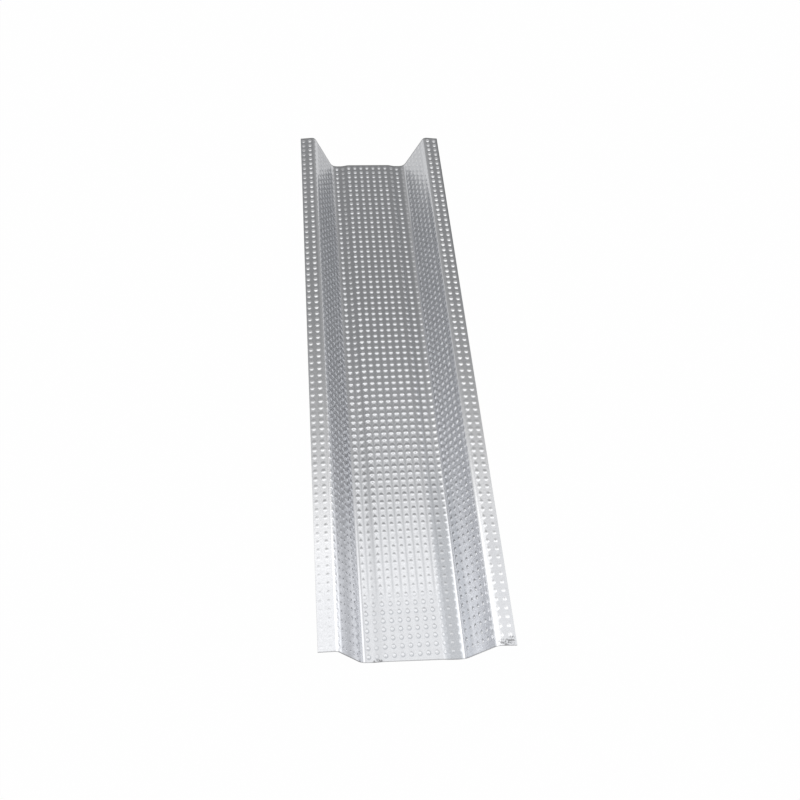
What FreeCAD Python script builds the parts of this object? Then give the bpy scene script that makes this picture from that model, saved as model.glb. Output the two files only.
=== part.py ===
import FreeCAD, Part
import math
import os
import Sketcher

# Furring channel: a hat section roll formed from one strip of zinc-coated sheet steel.
# It lies on its crown with the trough open upwards. X runs across the section, Y along the
# length and Z up. The origin is on the floor, under the middle of the crown.

doc = FreeCAD.newDocument("FurringChannel")

# Driving sizes in millimetres. The corners they speak of are the sharp ones that the bends
# round off, so that the channel itself, over its flange bends, is 19.0 high.
driving_sizes = [
    ("channel_length", 250.0, "cut length along Y"),
    ("overall_width", 68.0, "over the free edges of both flanges"),
    ("corner_height", 19.13, "from the underside of the crown to the corner over each flange bend"),
    ("crown_width", 37.5, "underside of the crown, corner to corner"),
    ("flange_width", 6.5, "from the free edge to the corner under the flange"),
    ("flange_drop", 0.63, "how much lower the flange is at its free edge than at its corner"),
    ("sheet_thickness", 0.5, "the same all the way across the strip"),
    ("crown_bend_radius", 3.5, "inside radius of the bends between crown and webs"),
    ("flange_bend_radius", 1.6, "inside radius of the bends between webs and flanges"),
    ("field_width", 21.0, "raised field along the middle of the crown"),
    ("field_rise", 0.7, "height of the field over the strips beside it"),
    ("field_slope", 3.0, "width of the slope between the field and each strip"),
    ("field_radius", 2.5, "inside radius of the bends beside the field"),
]
sizes = doc.addObject("Spreadsheet::Sheet", "Sizes")
for row, (alias, value, note) in enumerate(driving_sizes, start=1):
    sizes.set(f"A{row}", alias)
    sizes.set(f"B{row}", str(value))
    sizes.set(f"C{row}", note)
    sizes.setAlias(f"B{row}", alias)
doc.recompute()

body = doc.addObject("PartDesign::Body", "FurringChannel")
body.Label = "furring_channel"


def origin_plane(role):
    return next(plane for plane in body.Origin.OriginFeatures if plane.Role == role)


# Half of the section, from the middle of the crown to the free edge of one flange. The lower
# outline is the underside of the strip, and the upper one runs beside it at the sheet thickness.
section = body.newObject("Sketcher::SketchObject", "HalfSection")
section.AttachmentSupport = [(origin_plane("XZ_Plane"), "")]
section.MapMode = "FlatFace"

thickness = sizes.sheet_thickness
field_edge = sizes.field_width / 2
slope_foot = field_edge + sizes.field_slope
crown_edge = sizes.crown_width / 2
free_edge = sizes.overall_width / 2
flange_slope = math.atan2(sizes.flange_drop, sizes.flange_width)
underside_end = free_edge - thickness * math.sin(flange_slope)
flange_root = underside_end - sizes.flange_width
flange_underside = sizes.corner_height - thickness

underside = [
    (0, sizes.field_rise),
    (field_edge, sizes.field_rise),
    (slope_foot, 0),
    (crown_edge, 0),
    (flange_root, flange_underside),
    (underside_end, flange_underside - sizes.flange_drop),
]
outline = underside + [(across, up + thickness) for across, up in reversed(underside)]
for start, end in zip(outline, outline[1:] + outline[:1]):
    section.addGeometry(Part.LineSegment(FreeCAD.Vector(*start, 0), FreeCAD.Vector(*end, 0)), False)

# The lines in the order of the outline, and the ways in which a constraint names a point.
(FIELD_UNDER, SLOPE_UNDER, STRIP_UNDER, WEB_UNDER, FLANGE_UNDER, FREE_EDGE,
 FLANGE_TOP, WEB_TOP, STRIP_TOP, SLOPE_TOP, FIELD_TOP, MIDDLE) = range(len(outline))
START, END = range(1, 3)
ACROSS_AXIS, UP_AXIS = range(-1, -3, -1)
ORIGIN = (ACROSS_AXIS, START)

for index in range(len(outline)):
    following = (index + 1) % len(outline)
    section.addConstraint(Sketcher.Constraint("Coincident", index, END, following, START))
for index in (FIELD_UNDER, STRIP_UNDER, STRIP_TOP, FIELD_TOP):
    section.addConstraint(Sketcher.Constraint("Horizontal", index))
section.addConstraint(Sketcher.Constraint("Vertical", MIDDLE))
section.addConstraint(Sketcher.Constraint("PointOnObject", FIELD_UNDER, START, UP_AXIS))
section.addConstraint(Sketcher.Constraint("PointOnObject", STRIP_UNDER, START, ACROSS_AXIS))
section.addConstraint(Sketcher.Constraint("Parallel", SLOPE_UNDER, SLOPE_TOP))
section.addConstraint(Sketcher.Constraint("Parallel", WEB_UNDER, WEB_TOP))
section.addConstraint(Sketcher.Constraint("Parallel", FLANGE_UNDER, FLANGE_TOP))
section.addConstraint(Sketcher.Constraint("Perpendicular", FREE_EDGE, FLANGE_UNDER))

# Each dimension of the section: its name, kind, what it spans, the size it is drawn at and
# the cells that drive it.
dimensions = [
    ("FieldEdge", "DistanceX", (*ORIGIN, FIELD_UNDER, END), field_edge, "Sizes.field_width / 2"),
    ("FieldRise", "DistanceY", (*ORIGIN, FIELD_UNDER, START), sizes.field_rise, "Sizes.field_rise"),
    ("FieldSlope", "DistanceX", (SLOPE_UNDER, START, SLOPE_UNDER, END), sizes.field_slope,
     "Sizes.field_slope"),
    ("CrownEdge", "DistanceX", (*ORIGIN, STRIP_UNDER, END), crown_edge, "Sizes.crown_width / 2"),
    ("FreeEdge", "DistanceX", (*ORIGIN, FREE_EDGE, END), free_edge, "Sizes.overall_width / 2"),
    ("FlangeWidth", "DistanceX", (FLANGE_UNDER, START, FLANGE_UNDER, END), sizes.flange_width,
     "Sizes.flange_width"),
    ("FlangeDrop", "DistanceY", (FLANGE_UNDER, END, FLANGE_UNDER, START), sizes.flange_drop,
     "Sizes.flange_drop"),
    ("CornerHeight", "DistanceY", (*ORIGIN, WEB_TOP, START), sizes.corner_height,
     "Sizes.corner_height"),
    ("FieldThickness", "DistanceY", (MIDDLE, END, MIDDLE, START), thickness, "Sizes.sheet_thickness"),
    ("SlopeThickness", "Distance", (SLOPE_TOP, START, SLOPE_UNDER), thickness, "Sizes.sheet_thickness"),
    ("StripThickness", "DistanceY", (*ORIGIN, STRIP_TOP, START), thickness, "Sizes.sheet_thickness"),
    ("WebThickness", "Distance", (WEB_TOP, START, WEB_UNDER), thickness, "Sizes.sheet_thickness"),
    ("EdgeThickness", "Distance", (FREE_EDGE, START, FREE_EDGE, END), thickness,
     "Sizes.sheet_thickness"),
]
for name, kind, spanned, drawn, expression in dimensions:
    index = section.addConstraint(Sketcher.Constraint(kind, *spanned, drawn))
    section.renameConstraint(index, name)
    section.setExpression("Constraints." + name, expression)

# The strip is rolled along Y, half to each side of the origin, and the other half of the hat
# mirrors the first.
rolled_half = body.newObject("PartDesign::Pad", "RolledHalf")
rolled_half.Profile = section
rolled_half.SideType = "Symmetric"
rolled_half.setExpression("Length", "Sizes.channel_length")

hat = body.newObject("PartDesign::Mirrored", "Hat")
hat.Originals = [rolled_half]
hat.MirrorPlane = (origin_plane("YZ_Plane"), [""])
hat.Refine = True
body.Tip = hat
doc.recompute()


def lengthwise_edges(feature, corners):
    """Names of the edges along the length that run through the given corners of the section."""
    points = [section.getPoint(line, position) for line, position in corners]
    names = []
    for number, edge in enumerate(feature.Shape.Edges, start=1):
        first, last = edge.firstVertex().Point, edge.lastVertex().Point
        runs_along = abs(last.y - first.y) > sizes.channel_length / 2
        if runs_along and any(
                abs(abs(first.x) - point.x) < 1e-4 and abs(first.z - point.y) < 1e-4 for point in points):
            names.append(f"Edge{number}")
    return names


# Every bend keeps the sheet thickness: its outer face has the inside radius plus the sheet.
bends = [
    ("CrownBendsInside", [(STRIP_TOP, START)], "Sizes.crown_bend_radius"),
    ("CrownBendsOutside", [(STRIP_UNDER, END)], "Sizes.crown_bend_radius + Sizes.sheet_thickness"),
    ("FlangeBendsInside", [(FLANGE_UNDER, START)], "Sizes.flange_bend_radius"),
    ("FlangeBendsOutside", [(FLANGE_TOP, END)], "Sizes.flange_bend_radius + Sizes.sheet_thickness"),
    ("FieldBendsInside", [(FIELD_UNDER, END), (STRIP_TOP, END)], "Sizes.field_radius"),
    ("FieldBendsOutside", [(FIELD_TOP, START), (STRIP_UNDER, START)],
     "Sizes.field_radius + Sizes.sheet_thickness"),
]
for name, corners, expression in bends:
    sharp = body.Tip
    bend = body.newObject("PartDesign::Fillet", name)
    bend.Base = (sharp, lengthwise_edges(sharp, corners))
    bend.setExpression("Radius", expression)
    body.Tip = bend
    doc.recompute()

for item in doc.Objects:
    if "Invalid" in item.State or "Error" in item.State:
        raise RuntimeError(f"{item.Label} failed: {item.State}")
if body.Shape.isNull() or not body.Shape.isValid():
    raise RuntimeError("the channel has no valid solid")

os.makedirs("parts", exist_ok=True)
body.Shape.exportStep(f"parts/{body.Label}.step")
print(body.Label, "volume", round(body.Shape.Volume, 1), "mm3, box", body.Shape.BoundBox)
print("section fully constrained:", section.FullyConstrained)
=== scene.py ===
import math
import bpy
import numpy as np
from mathutils import Matrix, Vector
from mathutils.geometry import delaunay_2d_cdt


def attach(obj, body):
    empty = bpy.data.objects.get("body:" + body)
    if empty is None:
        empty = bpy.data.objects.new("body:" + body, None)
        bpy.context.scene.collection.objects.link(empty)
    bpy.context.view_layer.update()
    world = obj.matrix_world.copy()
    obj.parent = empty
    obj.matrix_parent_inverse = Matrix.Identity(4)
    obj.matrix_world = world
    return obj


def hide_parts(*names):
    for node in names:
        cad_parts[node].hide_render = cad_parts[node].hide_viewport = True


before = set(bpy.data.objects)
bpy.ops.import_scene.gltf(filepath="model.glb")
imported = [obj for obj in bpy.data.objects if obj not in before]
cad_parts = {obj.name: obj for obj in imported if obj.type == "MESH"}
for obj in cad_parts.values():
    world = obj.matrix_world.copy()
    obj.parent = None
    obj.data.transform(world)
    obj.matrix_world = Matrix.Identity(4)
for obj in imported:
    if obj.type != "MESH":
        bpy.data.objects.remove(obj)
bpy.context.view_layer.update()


# Shader maths: a Wire is an output socket, and + - * / ** on wires and numbers add Math nodes.
class Wire:
    def __init__(self, graph, socket):
        self.graph = graph
        self.socket = socket

    def math(self, operation, *others):
        values = dict(enumerate((self, *others)))
        return self.graph.node("ShaderNodeMath", {"operation": operation}, values)

    def __add__(self, other):
        return self.math("ADD", other)

    def __radd__(self, other):
        return self.math("ADD", other)

    def __mul__(self, other):
        return self.math("MULTIPLY", other)

    def __rmul__(self, other):
        return self.math("MULTIPLY", other)

    def __sub__(self, other):
        return self.math("SUBTRACT", other)

    def __rsub__(self, other):
        return self.graph.node("ShaderNodeMath", {"operation": "SUBTRACT"}, {0: other, 1: self})

    def __truediv__(self, other):
        return self.math("DIVIDE", other)

    def __rtruediv__(self, other):
        return self.graph.node("ShaderNodeMath", {"operation": "DIVIDE"}, {0: other, 1: self})

    def __pow__(self, other):
        return self.math("POWER", other)

    def __neg__(self):
        return self.math("MULTIPLY", -1.0)

    # 0 below low, 1 above high and a smooth rise between them
    def rise(self, low, high):
        settings = {"interpolation_type": "SMOOTHSTEP", "clamp": True}
        values = {"Value": self, "From Min": low, "From Max": high}
        return self.graph.node("ShaderNodeMapRange", settings, values)


class Graph:
    def __init__(self, tree):
        self.tree = tree
        tree.nodes.clear()

    # a node of a kind, with its settings first and then the values or wires of its sockets
    def node(self, kind, settings=None, values=None, out=0):
        new = self.tree.nodes.new(kind)
        for name, setting in (settings or {}).items():
            setattr(new, name, setting)
        for name, value in (values or {}).items():
            socket = new.inputs[name]
            if isinstance(value, Wire):
                self.tree.links.new(value.socket, socket)
            else:
                socket.default_value = value
        return Wire(self, new.outputs[out]) if new.outputs else new

    def attribute(self, name, out):
        return self.node("ShaderNodeAttribute", {"attribute_name": name}, out=out)

    def noise(self, vector, scale, detail, roughness):
        values = {"Vector": vector, "Scale": scale, "Detail": detail, "Roughness": roughness}
        return self.node("ShaderNodeTexNoise", {}, values)

    def mixColour(self, factor, first, second):
        values = {"Factor": factor, 6: first, 7: second}
        return self.node("ShaderNodeMix", {"data_type": "RGBA"}, values, out=2)

    def scaled(self, vector, factors):
        return self.node("ShaderNodeVectorMath", {"operation": "MULTIPLY"}, {0: vector, 1: factors})

    def parts(self, vector):
        split = self.node("ShaderNodeSeparateXYZ", {}, {0: vector}).socket.node
        return [Wire(self, socket) for socket in split.outputs]


def newMaterial(name):
    material = bpy.data.materials.new(name)
    material.use_nodes = True
    return material, Graph(material.node_tree)


# The section of the sheet, in metres. Corner sizes are those of the sharp corners.
section = {
    "length": 0.250,
    "width": 0.068,
    "cornerHeight": 0.01913,
    "crown": 0.0375,
    "flange": 0.0065,
    "flangeDrop": 0.00063,
    "gauge": 0.0005,
    "crownBend": 0.0035,     # inside radii
    "flangeBend": 0.0016,
    "field": 0.021,
    "fieldRise": 0.0007,
    "fieldSlope": 0.003,
    "fieldBend": 0.0025,
    "cutEase": 0.00005,      # broken edge round every cut
    "nearSkew": 0.00115,     # the cut at -Y leans by this much at each free edge
}


# Half of the sheet's middle line as runs: start, length, heading and curvature of each line and arc,
# with the corners of the underside moved up by half the gauge along the bisector.
def middleLine(values):
    slope = math.atan2(values["flangeDrop"], values["flange"])
    end = values["width"] / 2 - values["gauge"] * math.sin(slope)
    root = end - values["flange"]
    # under the sharp corner over the flange bend, closed in on because the web's angle follows from it
    rootHeight = values["cornerHeight"] - values["gauge"]
    rounds = 20
    for _ in range(rounds):
        web = math.atan2(rootHeight, root - values["crown"] / 2)
        share = values["gauge"] / (1 + math.cos(web + slope))
        rootHeight = values["cornerHeight"] - share * (math.cos(web) + math.cos(slope))
    under = np.array([
        (0.0, values["fieldRise"]),
        (values["field"] / 2, values["fieldRise"]),
        (values["field"] / 2 + values["fieldSlope"], 0.0),
        (values["crown"] / 2, 0.0),
        (root, rootHeight),
        (end, rootHeight - values["flangeDrop"]),
    ])
    legs = np.diff(under, axis=0)
    heading = np.arctan2(legs[:, 1], legs[:, 0])
    normal = np.stack([-np.sin(heading), np.cos(heading)], axis=1)
    before = np.vstack([normal[:1], normal])
    after = np.vstack([normal, normal[-1:]])
    shift = (before + after) / (1 + (before * after).sum(axis=1, keepdims=True))
    corners = under + shift * values["gauge"] / 2
    span = np.hypot(*np.diff(corners, axis=0).T)
    turn = np.diff(heading)
    inside = [values[name] for name in ("fieldBend", "fieldBend", "crownBend", "flangeBend")]
    radius = np.array(inside) + values["gauge"] / 2
    setback = radius * np.tan(np.abs(turn) / 2)
    runs = []
    for index, length in enumerate(span):
        trim = (setback[index - 1] if index else 0) + (setback[index] if index < len(turn) else 0)
        runs.append((length - trim, heading[index], 0.0))
        if index < len(turn):
            arc = radius[index] * abs(turn[index])
            runs.append((arc, heading[index], np.sign(turn[index]) / radius[index]))
    length, angle, bend = np.array(runs).T
    start = np.concatenate([[0], np.cumsum(length)])
    x, z = [corners[0, 0]], [corners[0, 1]]
    for run, first, curve in zip(length, angle, bend):
        last = first + curve * run
        x.append(x[-1] + ((math.sin(last) - math.sin(first)) / curve if curve else run * math.cos(first)))
        z.append(z[-1] + ((math.cos(first) - math.cos(last)) / curve if curve else run * math.sin(first)))
    return {"start": start, "angle": angle, "bend": bend, "half": start[-1],
            "x": np.array(x), "z": np.array(z)}


# A point of the middle line and its heading at a signed distance along the sheet from the crown's middle.
# A straight run goes on by the cosine and sine of its heading, an arc by their differences over its
# curvature.
def alongSection(line, across):
    distance = np.clip(np.abs(across), 0, line["half"])
    run = np.clip(np.searchsorted(line["start"], distance, side="right") - 1, 0, len(line["bend"]) - 1)
    gone = distance - line["start"][run]
    first, curve = line["angle"][run], line["bend"][run]
    heading = first + curve * gone
    straight = curve == 0
    safe = np.where(straight, 1.0, curve)
    x = line["x"][run] + np.where(straight, gone * np.cos(first), (np.sin(heading) - np.sin(first)) / safe)
    z = line["z"][run] + np.where(straight, gone * np.sin(first), (np.cos(first) - np.cos(heading)) / safe)
    side = np.where(across < 0, -1.0, 1.0)
    return side * x, z, side * heading


knurl = {
    "pitch": 0.0031,         # the same both ways
    "columns": 14,           # to each side of the middle one
    "rows": 80,
    "firstRow": -0.12215,
    "radius": 0.00140,
    "height": 0.00038,
    "uneven": (0.86, 1.10),  # least and most of it from one dimple to the next
    "seed": 7,
    # the rolls run off centre, more on the crown than on the flanges
    "crownShift": -0.00075,
    "flangeShift": -0.0003,
    "shiftColumns": (5, 13),   # between which the one goes over into the other
    # towards the end at -Y the dimples are smaller and lower, and they grow over these rows
    "nearSize": 0.70,
    "nearHeight": (0.27, 0.72, 0.21),   # on crown, webs and flanges
    "nearRows": (12, 30),
    "flangeRows": (12, 66),
    "lean": (0.00044, 0.00008),   # of a dimple's top towards -Y, near and full grown
    # the rolls leave this share of a dimple's height on some columns
    "bendColumns": (6, 12),  # on the crown bends and the flange bends
    "bendHeight": 0.45,
    "webHeight": 0.95,
    "slopeColumn": 4,        # beside the raised field
    "slopeHeight": 0.6,
    "outerHeight": 0.7,      # along the left free edge
    # the mesh of a row: shares of the radius, points round each ring, and across the sheet
    "rings": (0.55, 1.0),
    "spokes": 8,
    "bendStations": 5,
    "leastGap": 0.00012,     # between stations
}


# Middles of the columns of dimples, as distances along the sheet from the crown's middle.
def columnPlaces(values):
    number = np.arange(-values["columns"], values["columns"] + 1)
    first, last = values["shiftColumns"]
    outward = np.clip((np.abs(number) - first) / (last - first), 0, 1)
    shift = values["crownShift"] + (values["flangeShift"] - values["crownShift"]) * outward
    return number * values["pitch"] + shift


# How far the dimples of a row have grown: 0 at the near rows and 1 beyond them, and between them the
# square of the way there times 3 less twice the way.
def rowGrowth(row, first, last):
    gone = np.clip((row - first) / (last - first), 0, 1)
    return gone * gone * (3 - 2 * gone)


# The radius of a dimple and the lean of its top, each on a straight line from near to full grown.
def dimpleShape(values, grown):
    radius = values["radius"] * (values["nearSize"] + (1 - values["nearSize"]) * grown)
    near, full = values["lean"]
    return radius, near + (full - near) * grown


# The share of its full height at a point of a dimple: one less the squared distance from the top over the
# squared radius, all squared. The radius is longer towards +Y and shorter towards -Y, by the lean.
def dimpleShare(values, across, along):
    pitch = values["pitch"]
    places = columnPlaces(values)
    column = np.searchsorted((places[1:] + places[:-1]) / 2, across)
    row = np.clip(np.round((along - values["firstRow"]) / pitch), 0, values["rows"] - 1)
    radius, lean = dimpleShape(values, rowGrowth(row, *values["nearRows"]))
    beyond = along - values["firstRow"] - row * pitch + lean
    away = ((across - places[column]) / radius) ** 2 + (beyond / (radius + lean * np.sign(beyond))) ** 2
    return np.clip(1 - away, 0, 1) ** 2, row, column


# Height of the knurl, the same on both faces: a bump above and a dent below.
def knurlHeight(values, across, along):
    cap, row, column = dimpleShare(values, across, along)
    number = np.abs(column - values["columns"])
    crownBend, flangeBend = values["bendColumns"]
    onFlange = number > flangeBend
    least = np.choose((number > crownBend).astype(int) + onFlange, values["nearHeight"])
    grown = np.where(onFlange, rowGrowth(row, *values["flangeRows"]), rowGrowth(row, *values["nearRows"]))
    size = (values["rows"], 2 * values["columns"] + 1)
    uneven = np.random.default_rng(values["seed"]).uniform(*values["uneven"], size)
    strength = uneven[row.astype(int), column] * (least + (1 - least) * grown)
    weakened = [
        (np.isin(number, values["bendColumns"]), values["bendHeight"]),
        ((number > crownBend) & (number < flangeBend), values["webHeight"]),
        (number == values["slopeColumn"], values["slopeHeight"]),
        (column == 0, values["outerHeight"]),
    ]
    for where, share in weakened:
        strength = strength * np.where(where, share, 1.0)
    return values["height"] * cap * strength


# A point of the sheet: the middle line's point, moved along its normal by the offset and the knurl.
def sheetPoint(line, across, along, offset):
    x, z, heading = alongSection(line, across)
    out = offset + knurlHeight(knurl, across, along)
    return np.stack([x - np.sin(heading) * out, along, z + np.cos(heading) * out], axis=-1)


# The normal is the cross product of the two directions that small steps across and along give.
def sheetNormal(line, across, along, offset, step=2e-6):
    sideways = sheetPoint(line, across + step, along, offset)
    sideways -= sheetPoint(line, across - step, along, offset)
    lengthways = sheetPoint(line, across, along + step, offset)
    lengthways -= sheetPoint(line, across, along - step, offset)
    normal = np.cross(sideways, lengthways)
    return normal / np.linalg.norm(normal, axis=-1, keepdims=True)


# One row of dimples as flat points (across, along): rings round each centre, then stations on the row's
# two borders, which are close together at the bends. The row is meshed once and repeated along the sheet.
def rowPattern(values, line, edge):
    pitch = values["pitch"]
    centres = columnPlaces(values)
    spoke = (np.arange(values["spokes"]) + 0.5) * 2 * np.pi / values["spokes"]
    ring = np.stack([np.cos(spoke), np.sin(spoke)], axis=-1)
    rings = np.vstack([[(0.0, 0.0)]] + [ring * share for share in values["rings"]])
    star = np.tile(rings, (len(centres), 1))
    middles = np.repeat(centres, len(rings))
    radius, lean = dimpleShape(values, 1.0)
    reach = radius + lean * np.sign(star[:, 1])
    inner = np.stack([middles + star[:, 0] * radius, star[:, 1] * reach - lean], axis=-1)
    # ends of the two small bends beside the field, then of the crown bend and of the flange bend
    smallBends, mainBends = line["start"][1:5], line["start"][5:9].reshape(2, 2)
    mainBends = np.concatenate([np.linspace(*ends, values["bendStations"]) for ends in mainBends])
    borders = (centres[:-1] + centres[1:]) / 2
    stations = np.concatenate([borders, [-edge, edge], mainBends, -mainBends, smallBends, -smallBends])
    stations = np.unique(np.round(stations, 7))
    stations = stations[np.concatenate([[True], np.diff(stations) > values["leastGap"]])]
    low = np.stack([stations, np.full(len(stations), -pitch / 2)], axis=-1)
    points = np.vstack([low, inner, low * (1.0, -1.0)])
    millimetres = 1000.0
    tolerance = 1e-6
    result = delaunay_2d_cdt([Vector(point) for point in points * millimetres], [], [], 0, tolerance)
    back = np.array([origin[0] for origin in result[3]])
    triangles = back[np.array(result[2])]
    a, b, c = (points[triangles[:, i]] for i in range(3))
    turned = (b[:, 0] - a[:, 0]) * (c[:, 1] - a[:, 1]) - (b[:, 1] - a[:, 1]) * (c[:, 0] - a[:, 0])
    triangles[turned < 0] = triangles[turned < 0][:, ::-1]
    sliver = 1e-14
    return stations, middles, star, triangles[np.abs(turned) > sliver]


# Triangles between two lines of as many points.
def ribbon(a, b):
    quads = np.stack([a[:-1], a[1:], b[1:], b[:-1]], axis=-1)
    return np.vstack([quads[:, [0, 1, 2]], quads[:, [0, 2, 3]]])


# A mesh of triangles.
def newMesh(name, points, faces):
    mesh = bpy.data.meshes.new(name)
    mesh.vertices.add(len(points))
    mesh.vertices.foreach_set("co", points.astype(np.float32).ravel())
    mesh.loops.add(faces.size)
    mesh.loops.foreach_set("vertex_index", faces.astype(np.int32).ravel())
    mesh.polygons.add(len(faces))
    mesh.polygons.foreach_set("loop_start", np.arange(0, faces.size, 3, dtype=np.int32))
    mesh.update(calc_edges=True)
    return mesh


def setAttribute(mesh, name, kind, domain, field, values):
    mesh.attributes.new(name, kind, domain).data.foreach_set(field, values.astype(np.float32).ravel())


# The sheet as one closed mesh: the row of dimples is carried along all rows, ribbons go on from the first
# and last row to the cuts, and three ribbons all the way round join the upper face to the lower one.
def knurledSheet(name, values, dimples):
    line = middleLine(values)
    ease = values["cutEase"]
    edge = line["half"] - ease
    stations, middles, star, triangles = rowPattern(dimples, line, edge)
    border, step = len(stations), len(stations) + len(star)
    rows, pitch = dimples["rows"], dimples["pitch"]
    lowest = dimples["firstRow"] - pitch / 2
    # points of one face, flat: row after row of border and dimples, then the last border
    radius, lean = dimpleShape(dimples, rowGrowth(np.arange(rows), *dimples["nearRows"])[:, None])
    across = np.hstack([np.tile(stations, (rows, 1)), middles + star[:, 0] * radius])
    along = star[:, 1] * (radius + lean * np.sign(star[:, 1])) - lean + pitch / 2
    along = np.hstack([np.zeros((rows, border)), along]) + lowest + pitch * np.arange(rows)[:, None]
    across = np.concatenate([across.ravel(), stations])
    along = np.concatenate([along.ravel(), np.full(border, lowest + pitch * rows)])
    # the cut ends: a border station's own place on the rim, level at +Y and leaning at -Y
    rimX = alongSection(line, stations)[0]
    nearRim = -values["length"] / 2 - values["nearSkew"] * rimX / (values["width"] / 2)
    farRim = np.full(border, values["length"] / 2)
    total = len(across)
    across = np.concatenate([across, stations, stations])
    along = np.concatenate([along, nearRim + ease, farRim - ease])
    near, far = total + np.arange(border), total + border + np.arange(border)
    first, last = np.arange(border), rows * step + np.arange(border)
    face = (triangles[None] + step * np.arange(rows)[:, None, None]).reshape(-1, 3)
    face = np.vstack([face, ribbon(near, first), ribbon(last, far)])
    faceCount = len(across)
    # the rim goes once round the face: near cut, right free edge, far cut, left free edge
    rightSide = np.concatenate([[near[-1]], border - 1 + step * np.arange(rows + 1), [far[-1]]])
    leftSide = np.concatenate([[near[0]], step * np.arange(rows + 1), [far[0]]])
    loop = np.concatenate([near[:-1], rightSide[:-1], far[::-1][:-1], leftSide[::-1][:-1]])
    slack = 1e-6
    outX = np.where(np.abs(across[loop]) > edge - slack, np.sign(across[loop]) * ease, 0.0)
    outY = np.where(np.isin(loop, near), -ease, np.where(np.isin(loop, far), ease, 0.0))
    rimAcross, rimAlong = across[loop] + outX, along[loop] + outY

    # the upper face, two rims and the lower face, joined by ribbons round the edge
    half = values["gauge"] / 2
    places = [(across, along, half), (rimAcross, rimAlong, half - ease),
              (rimAcross, rimAlong, ease - half), (across, along, -half)]
    points = np.vstack([sheetPoint(line, a, b, offset) for a, b, offset in places])
    rim = len(loop)
    lowerFace = faceCount + 2 * rim
    levels = [loop, faceCount + np.arange(rim), faceCount + rim + np.arange(rim), lowerFace + loop]
    under = face[:, ::-1] + lowerFace
    sides = []
    for upper, lower in zip(levels, levels[1:]):
        nextUpper, nextLower = np.roll(upper, -1), np.roll(lower, -1)
        sides.append(np.stack([upper, lower, nextLower], axis=-1))
        sides.append(np.stack([upper, nextLower, nextUpper], axis=-1))
    faces = np.vstack([face, under, *sides])
    mesh = newMesh(name, points, faces)

    # for the material: the place on the sheet with its face, how far the knurl is raised, and the cuts
    place = [np.stack([a, b, np.full(len(a), np.sign(offset))], axis=-1) for a, b, offset in places]
    raised = [dimpleShare(dimples, a, b)[0] for a, b, offset in places]
    isCut = np.arange(len(faces)) >= len(face) * 2
    setAttribute(mesh, "sheetPlace", "FLOAT_VECTOR", "POINT", "vector", np.vstack(place))
    setAttribute(mesh, "raised", "FLOAT", "POINT", "value", np.concatenate(raised))
    setAttribute(mesh, "cutFace", "FLOAT", "CORNER", "value", np.repeat(isCut, 3))

    # true normals on both faces, so that the dimples shade round, and flat ones on the cuts
    normals = np.zeros_like(points)
    normals[:faceCount] = sheetNormal(line, across, along, half)
    normals[-faceCount:] = -sheetNormal(line, across, along, -half)
    corner = normals[faces.ravel()]
    corner[np.repeat(isCut, 3)] = 0.0
    mesh.polygons.foreach_set("use_smooth", ~isCut)
    mesh.normals_split_custom_set(corner.tolist())
    piece = bpy.data.objects.new(name, mesh)
    bpy.context.scene.collection.objects.link(piece)
    print(name, "has", len(points), "points and", len(faces), "triangles")
    return piece


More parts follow.
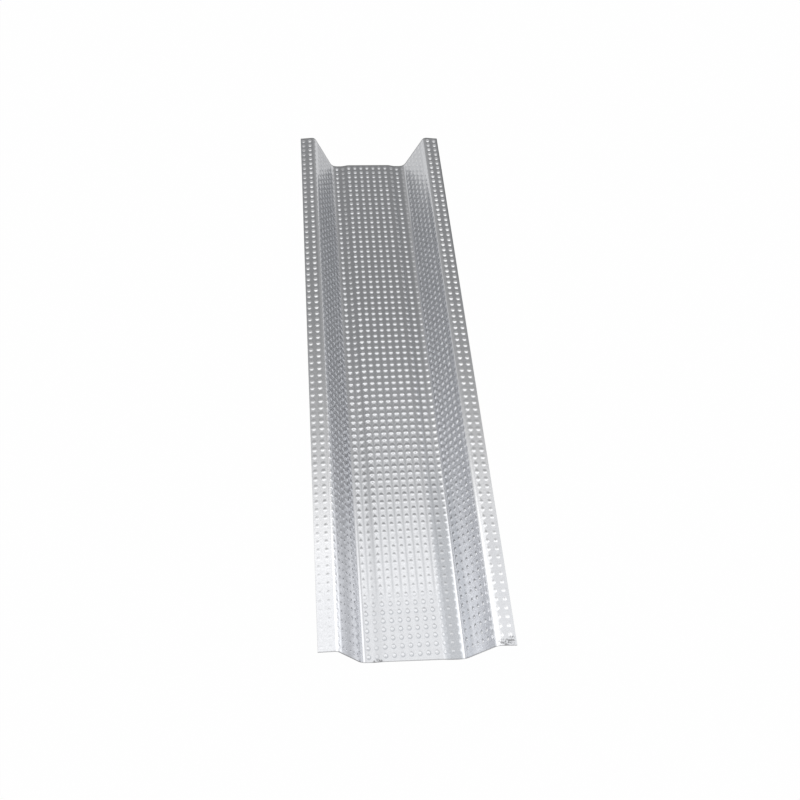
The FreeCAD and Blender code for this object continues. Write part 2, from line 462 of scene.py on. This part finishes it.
zinc = {
    "colour": (0.855, 0.865, 0.89, 1.0),
    "dullColour": (0.74, 0.745, 0.765, 1.0),
    "cleanAndHighlightColour": (0.965, 0.97, 0.985, 1.0),    # of the flanges and their bends, and painted highlights on the dimple tops of the right web
    "dullAndShadeColour": (0.575, 0.585, 0.605, 1.0),   # painted shade between the dimples, and the tone of flecks and dull spots
    "paintedShadeColour": (0.47, 0.485, 0.51, 1.0),      # painted shade of the right strip near the cut and of the dimples' lower rims in the last rows
    "webShadeColour": (0.60, 0.605, 0.625, 1.0),       # painted shade of the left web
    "edgeAndCreaseShadeColour": (0.26, 0.26, 0.27, 1.0),        # along the cuts, and painted shade in the crease where the left strip meets its bend
    "cutColour": (0.46, 0.46, 0.47, 1.0),
    "dirtColour": (0.16, 0.16, 0.165, 1.0),
    "roughness": 0.19,
    "bumpStrength": 0.5,
    "bumpDepth": 0.00002,
    "half": 0.0451,          # of the sheet, from the middle of the crown to a free edge
    "cutLean": 0.0255,       # of the near cut, along over across
    # noises: scale per metre, detail and roughness, with the streaks drawn out along the sheet
    "noises": {
        "streaks": (1.0, 3.0, 0.6),
        "clouds": (60.0, 4.0, 0.55),
        "mottle": (520.0, 3.0, 0.6),
        "ragged": (1500.0, 2.0, 0.7),
        "flecks": (1800.0, 2.0, 0.6),
        "grain": (2600.0, 2.0, 0.6),
    },
    "streakStretch": (900.0, 14.0, 40.0),
    # how much each noise counts
    "dullBy": {"streaks": 0.45, "clouds": 0.5, "mottle": 1.3},
    "roughBy": {"streaks": 0.05, "mottle": 0.12, "grain": 0.06},
    "bumpBy": {"grain": 0.9, "mottle": 1.2, "clouds": 1.0},
    # soft steps, from nothing to full, in metres outwards along the sheet from the middle of the crown
    "outward": {
        "leftStripShade": (0.0100, 0.0115),
        "rightStripShade": (0.0105, 0.0125),
        "leftStripEnd": (0.0130, 0.0142),
        "crownEnd": (0.0165, 0.0185),
        "leftWebShade": (0.0165, 0.0180),
        "creaseShade": (0.0170, 0.0173),
        "footEnd": (0.0175, 0.0178),
        "rightStripEnd": (0.0178, 0.0187),
        "web": (0.0188, 0.0202),
        "webEnd": (0.0350, 0.0364),
        "leftWebEnd": (0.0352, 0.0364),
        "bend": (0.0352, 0.0368),
        "leftOuter": (0.0375, 0.0390),
        "flange": (0.0385, 0.0395),
        "rightOuter": (0.0397, 0.0408),
        "rightHalf": (0.0, 0.001),
    },
    # and in metres along Y
    "along": {
        "leftOuter": (-0.112, -0.082),
        "endRows": (-0.108, -0.096),
        "smooth": (-0.100, -0.035),
        "flangeFlecks": (-0.100, -0.030),
        "rightOuter": (-0.095, -0.060),
        "far": (-0.090, 0.050),
        "creaseShade": (-0.090, -0.060),
        "paintedColumnShade": (-0.090, -0.050),
        "rightStripShade": (-0.085, -0.030),
        "tops": (-0.070, 0.020),
        "leftStripShade": (-0.060, -0.010),
        "bend": (-0.060, 0.0),
        "leftWebShade": (-0.030, 0.030),
        "freeEdge": (0.020, 0.080),
    },
    # widths of the dark lines, as steps away from a cut
    "farCut": (0.00030, 0.00075),
    "nearCut": (0.00010, 0.00035),
    "freeEdge": (0.00025, 0.00070),
    # the share of a dimple's height at which its top starts and is full, and what the far end adds to it
    "topStart": (0.02, 0.13),
    "topFull": (0.45, 0.10),
    "wave": 0.0011,          # twice the depth of the waves in the clean band of the right flange
    # painted highlight tops and painted shadow rims of the last rows, in pitches: how far off the dimple's
    # middle, and the squared reach
    "topAhead": 0.13,
    "topSpread": (0.025, 0.050),
    "rimShift": (0.04, 0.07),
    "rimSpread": (0.055, 0.100),
    # the painted shade between the dimples starts and is full at this squared distance from a dimple's
    # middle, 1 halfway to the next
    "ground": (0.15, 1.05),
    "groundAlong": (0.08, 0.47),   # how much the distance along counts, and what the far end adds to it
    # levels of a noise at which flecks and dirt start and are full
    "flecks": (0.42, 0.60),
    "stripFlecks": (0.45, 0.62),
    "ragged": (0.44, 0.56),
    "under": (-0.9, -0.5),   # the face is -1 on the underside and 1 on top
    # dirty spots at the near cut: where across and along the sheet, and how wide and deep
    "spots": (
        (-0.0130, -0.1244, 0.0020, 0.0009),
        (-0.0118, -0.1244, 0.0007, 0.0007),
        (0.0415, -0.1249, 0.0034, 0.0013),
        (0.0435, -0.1240, 0.0012, 0.0014),
    ),
    "spotRim": (0.3, 1.3),
    # how much of its colour each tone lays on
    "share": {
        "dull": 0.30, "dullTops": 0.2,
        "clean": 0.90, "leftOuterLess": 0.9, "rightOuter": 0.42, "leftOuter": 0.08,
        "web": 0.60, "rightWebLess": 0.57, "leftWebShade": 0.70, "farWeb": 0.28,
        "flecks": 0.14, "flangeFlecks": 0.14, "crownFlecks": 0.20,
        "paintedColumnShade": (0.85, 0.15), "farFlange": 0.85,
        "endGroundShade": 0.42, "endRimShade": 0.90,
        "leftStripShade": 0.45, "stripTops": 0.5, "stripFlecks": 0.30,
        "dents": 0.6, "lines": 0.85, "nearCut": 0.35, "creaseShade": 0.45, "dirt": 0.7,
    },
    # and what some places add to the roughness
    "rougher": {"cut": 0.25, "dirt": 0.25, "line": 0.15, "near": -0.05, "nearWeb": 0.05, "farWeb": 0.11},
}


def zincMaterial(values, dimples, length):
    material, graph = newMaterial("zincSheet")
    place = graph.attribute("sheetPlace", 1)
    raised = graph.attribute("raised", 2)
    cut = graph.attribute("cutFace", 2)
    across, along, face = graph.parts(place)
    away = across.math("ABSOLUTE")
    left = -across
    share = values["share"]
    drawnOut = graph.scaled(place, values["streakStretch"])
    noises = {name: graph.noise(drawnOut if name == "streaks" else place, *kind)
              for name, kind in values["noises"].items()}

    # a weighted sum of noises, each taken from its middle
    def uneven(weights):
        return sum((noises[name] - 0.5) * weight for name, weight in weights.items())

    def out(distance, name):
        return distance.rise(*values["outward"][name])

    def beyond(name):
        return along.rise(*values["along"][name])

    def nearer(name):
        return 1 - beyond(name)

    def lay(amount, under, colour):
        return graph.mixColour(amount, under, values[colour])

    far = beyond("far")
    onCrown = 1 - out(away, "crownEnd")
    onWebs = out(away, "web") * (1 - out(away, "webEnd"))
    onFlanges = out(away, "flange")
    # the tops of the dimples, and the flat ground round them
    (startNear, startMore), (fullNear, fullMore) = values["topStart"], values["topFull"]
    grown = beyond("tops")
    dot = raised.rise(grown * startMore + startNear, grown * fullMore + fullNear)
    flat = 1 - dot
    dull = (uneven(values["dullBy"]) + share["dull"] - raised * share["dullTops"]).math("MAXIMUM", 0.0)
    tone = graph.mixColour(dull.math("MINIMUM", 1.0), values["colour"], values["dullColour"])

    # the flanges and their bends are the cleanest, but near the cut the right one only in a wavy band beside
    # its bend and the left one only next to its bend
    rowPlace = (along - dimples["firstRow"]) / dimples["pitch"]
    wave = rowPlace.math("PINGPONG", 0.5) * values["wave"]
    rightOuter = out(across + wave, "rightOuter") * nearer("rightOuter")
    leftOuter = out(left, "leftOuter") * nearer("leftOuter")
    clean = out(away, "bend") * nearer("bend").math("MAXIMUM", onFlanges)
    clean = clean * (1 - rightOuter * flat) * (1 - leftOuter * share["leftOuterLess"])
    tone = lay(clean * share["clean"], tone, "cleanAndHighlightColour")
    outer = rightOuter * share["rightOuter"] + leftOuter * share["leftOuter"]
    tone = lay(outer * flat, tone, "dullAndShadeColour")

    # the webs get painted shade between their dimples, mostly the left one, which gets painted shade
    # altogether towards the near end, and the tops of the right one get a painted highlight
    right = out(across, "rightHalf")
    tone = lay(onWebs * flat * (share["web"] - right * share["rightWebLess"]), tone, "dullAndShadeColour")
    tone = lay(onWebs * dot * right, tone, "cleanAndHighlightColour")
    flecked = onFlanges * nearer("flangeFlecks") * share["flangeFlecks"] + share["flecks"]
    flecked = flecked + onCrown * nearer("bend") * share["crownFlecks"]
    tone = lay(noises["flecks"].rise(*values["flecks"]) * flecked, tone, "dullAndShadeColour")
    leftWebShade = out(left, "leftWebShade") * (1 - out(left, "leftWebEnd"))
    tone = lay(leftWebShade * nearer("leftWebShade") * share["leftWebShade"], tone, "webShadeColour")

    # on the crown painted shade lies in bands between the columns near by and on all that is flat far off
    columnPlace = (across - dimples["crownShift"]) / dimples["pitch"]
    sideways = columnPlace.math("PINGPONG", 0.5) * 2
    lengthways = rowPlace.math("PINGPONG", 0.5) * 2
    alongNear, alongMore = values["groundAlong"]
    ground = sideways * sideways + lengthways * lengthways * (far * alongMore + alongNear)
    ground = ground.rise(*values["ground"]).math("MAXIMUM", far * flat)
    stripesNear, stripesMore = share["paintedColumnShade"]
    paintedColumnShade = ground * onCrown * (beyond("paintedColumnShade") * stripesMore + stripesNear)
    tone = lay(paintedColumnShade * beyond("endRows"), tone, "dullAndShadeColour")
    # painted shade far off on the flat of the flanges and on the webs
    farPaintedShade = onFlanges * flat * share["farFlange"] + onWebs * share["farWeb"]
    tone = lay(far * farPaintedShade, tone, "dullAndShadeColour")

    # in the last rows the ground gets even painted shade, with a painted highlight on the top and a painted
    # shadow on the lower rim of each dimple
    inEndRows = nearer("endRows") * onCrown
    aside = (columnPlace + 0.5).math("FRACT") - 0.5
    ahead = (rowPlace + 0.5).math("FRACT") - (0.5 - values["topAhead"])
    rimAside, rimAhead = values["rimShift"]
    top = 1 - (aside * aside + ahead * ahead).rise(*values["topSpread"])
    rim = 1 - ((aside - rimAside) ** 2 + (ahead + rimAhead) ** 2).rise(*values["rimSpread"])
    tone = lay(inEndRows * (1 - top) * share["endGroundShade"], tone, "dullAndShadeColour")
    tone = lay(inEndRows * rim * (1 - top) * share["endRimShade"], tone, "paintedShadeColour")

    # the slopes beside the field, and the right strip with them, get painted shade towards the near end,
    # less on the dimple tops and flecks of the strip
    leftStripShade = out(left, "leftStripShade") * (1 - out(left, "leftStripEnd")) * nearer("leftStripShade")
    tone = lay(leftStripShade * share["leftStripShade"], tone, "dullAndShadeColour")
    rightStripShade = out(across, "rightStripShade") * (1 - out(across, "rightStripEnd")) * nearer("rightStripShade")
    rightStripShade = rightStripShade * (1 - dot * share["stripTops"])
    rightStripShade = rightStripShade * (1 - noises["flecks"].rise(*values["stripFlecks"]) * share["stripFlecks"])
    tone = lay(rightStripShade, tone, "paintedShadeColour")

    # the dents of the underside are darker
    under = 1 - face.rise(*values["under"])
    tone = lay(under * dot * share["dents"], tone, "dullAndShadeColour")

    # dark lines along the cuts and the far part of the right free edge, and near by a line of painted shade
    # in the crease where the left strip meets its bend
    toNearCut = along + length / 2 + across * values["cutLean"]
    farCut = 1 - (length / 2 - along).rise(*values["farCut"])
    nearCut = 1 - toNearCut.rise(*values["nearCut"])
    freeEdge = (1 - (values["half"] - across).rise(*values["freeEdge"])) * beyond("freeEdge")
    creaseShade = out(left, "creaseShade") * (1 - out(left, "footEnd")) * nearer("creaseShade")
    line = farCut + nearCut * share["nearCut"] + freeEdge + creaseShade * share["creaseShade"]
    line = line.math("MINIMUM", 1.0)
    tone = lay(line * share["lines"], tone, "edgeAndCreaseShadeColour")

    # burr and dirt at the near cut, as ragged spots
    dirt = 0.0
    for x, y, wide, deep in values["spots"]:
        reach = ((across - x) / wide) ** 2 + ((along - y) / deep) ** 2
        dirt = (1 - reach.rise(*values["spotRim"])).math("MAXIMUM", dirt)
    dirt = dirt * noises["ragged"].rise(*values["ragged"])
    tone = lay(dirt * share["dirt"], tone, "dirtColour")
    tone = lay(cut, tone, "cutColour")

    rougher = values["rougher"]
    near = nearer("smooth")
    rough = uneven(values["roughBy"]) + values["roughness"]
    rough = rough + cut * rougher["cut"] + dirt * rougher["dirt"] + line * rougher["line"]
    rough = rough + near * rougher["near"] + onWebs * (near * rougher["nearWeb"] + far * rougher["farWeb"])
    height = uneven(values["bumpBy"])
    bump = graph.node("ShaderNodeBump", {}, {
        "Strength": values["bumpStrength"], "Distance": values["bumpDepth"], "Height": height})
    shader = graph.node("ShaderNodeBsdfPrincipled", {}, {
        "Base Color": tone, "Metallic": 1.0, "Roughness": rough, "Normal": bump})
    graph.node("ShaderNodeOutputMaterial", {}, {"Surface": shader})
    return material


channel = knurledSheet("furringSheet", section, knurl)
channel.data.materials.append(zincMaterial(zinc, knurl, section["length"]))
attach(channel, "root")
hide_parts("furring_channel")


# The camera of the photograph, fitted to the corners of both ends.
view = {
    "place": (-0.031995, -0.187625, 0.290322),
    "down": 58.855,          # degrees below level
    "turn": -12.004,
    "roll": 8.201,
    "sensor": 36.0,
    "lens": 790.9 / 800 * 36.0,   # 790.9 pixels in a picture 800 wide
    "clip": (0.01, 50.0),
}


def addCamera(values):
    lens = bpy.data.cameras.new("camera")
    lens.sensor_width = values["sensor"]
    lens.lens = values["lens"]
    lens.clip_start, lens.clip_end = values["clip"]
    camera = bpy.data.objects.new("camera", lens)
    turn = (Matrix.Rotation(math.radians(values["turn"]), 4, "Z")
            @ Matrix.Rotation(math.radians(90 - values["down"]), 4, "X")
            @ Matrix.Rotation(math.radians(values["roll"]), 4, "Z"))
    camera.matrix_world = Matrix.Translation(values["place"]) @ turn
    bpy.context.scene.collection.objects.link(camera)
    bpy.context.scene.camera = camera


addCamera(view)
print("camera placed")


studio = {
    "floorSide": 8.0,
    "floorPoints": 9,        # along each side
    "floorColour": (0.62, 0.62, 0.62, 1.0),
    "white": (1.0, 1.0, 1.0, 1.0),
    "glow": 0.99,            # share of plain white in what the camera sees of the floor
    "glowInMetal": 0.45,     # and in what the metal mirrors of it
    # levels of the room, with where each sets in on the way there, 1 straight that way
    "bright": 1.05,          # overhead
    "sides": 1.60,
    "sidesFrom": (0.35, 0.75),
    "ahead": 0.37,           # beyond the far end
    "aheadFrom": (0.30, 0.55),
    "aheadBow": 0.05,        # its edge comes nearer to the sides
    "behind": 0.30,          # round the camera
    "behindFrom": (0.12, 0.34),
    "horizon": 0.70,
    "horizonTo": (0.08, 0.32),
    "lampPower": 0.15,
    "lampSize": (0.9, 0.7),
    "lampPlace": (-0.05, 0.10, 1.0),
}


# A flat square grid of points.
def addFloor(values):
    side, count = values["floorSide"] / 2, values["floorPoints"]
    across, along = np.meshgrid(np.linspace(-side, side, count), np.linspace(-side, side, count))
    points = np.stack([across.ravel(), along.ravel(), np.zeros(across.size)], axis=-1)
    index = np.arange(count * count).reshape(count, count)
    corners = [index[:-1, :-1], index[:-1, 1:], index[1:, 1:], index[1:, :-1]]
    quads = np.stack(corners, axis=-1).reshape(-1, 4)
    mesh = bpy.data.meshes.new("floor")
    mesh.from_pydata(points.tolist(), [], quads.tolist())
    floor = bpy.data.objects.new("floor", mesh)
    bpy.context.scene.collection.objects.link(floor)
    material, graph = newMaterial("floorPaper")
    path = {name: graph.node("ShaderNodeLightPath", out=name)
            for name in ("Is Camera Ray", "Is Glossy Ray", "Is Transmission Ray")}
    mirrored = (path["Is Glossy Ray"] + path["Is Transmission Ray"]).math("MINIMUM", 1.0)
    share = path["Is Camera Ray"] * values["glow"] + mirrored * values["glowInMetal"]
    paper = graph.node("ShaderNodeBsdfDiffuse", {}, {"Color": values["floorColour"]})
    white = graph.node("ShaderNodeEmission", {}, {"Color": values["white"], "Strength": 1.0})
    shader = graph.node("ShaderNodeMixShader", {}, {0: share, 1: paper, 2: white})
    graph.node("ShaderNodeOutputMaterial", {}, {"Surface": shader})
    mesh.materials.append(material)


# The room round the table: a bright flat ceiling that ends over the far end, grey beyond it and round
# the camera, with the white of the table's sweep low down.
def addWorld(values):
    world = bpy.data.worlds.new("studio")
    bpy.context.scene.world = world
    world.use_nodes = True
    graph = Graph(world.node_tree)
    x, y, z = graph.parts(graph.node("ShaderNodeTexCoord", out="Generated"))
    aside = x.math("ABSOLUTE")
    ahead = (y + aside * values["aheadBow"]).rise(*values["aheadFrom"])
    behind = (-y).rise(*values["behindFrom"])
    low = 1 - z.rise(*values["horizonTo"])
    level = values["bright"] + aside.rise(*values["sidesFrom"]) * (values["sides"] - values["bright"])
    level = level + ahead * (values["ahead"] - level)
    level = level + behind * (values["behind"] - level)
    level = level + low * (values["horizon"] - level)
    # plain white to the camera
    seen = graph.node("ShaderNodeLightPath", out="Is Camera Ray")
    level = level + seen * (1 - level)
    colour = graph.node("ShaderNodeCombineColor", {}, {0: level, 1: level, 2: level})
    background = graph.node("ShaderNodeBackground", {}, {"Color": colour, "Strength": 1.0})
    graph.node("ShaderNodeOutputWorld", {}, {"Surface": background})


def addLamp(name, values):
    light = bpy.data.lights.new(name, "AREA")
    light.shape = "RECTANGLE"
    light.size, light.size_y = values["lampSize"]
    light.energy = values["lampPower"]
    lamp = bpy.data.objects.new(name, light)
    place = Vector(values["lampPlace"])
    lamp.matrix_world = Matrix.Translation(place) @ place.to_track_quat("Z", "Y").to_matrix().to_4x4()
    bpy.context.scene.collection.objects.link(lamp)


addFloor(studio)
addWorld(studio)
addLamp("softbox", studio)
bpy.context.scene.view_settings.view_transform = "Standard"
print("floor and lights placed")
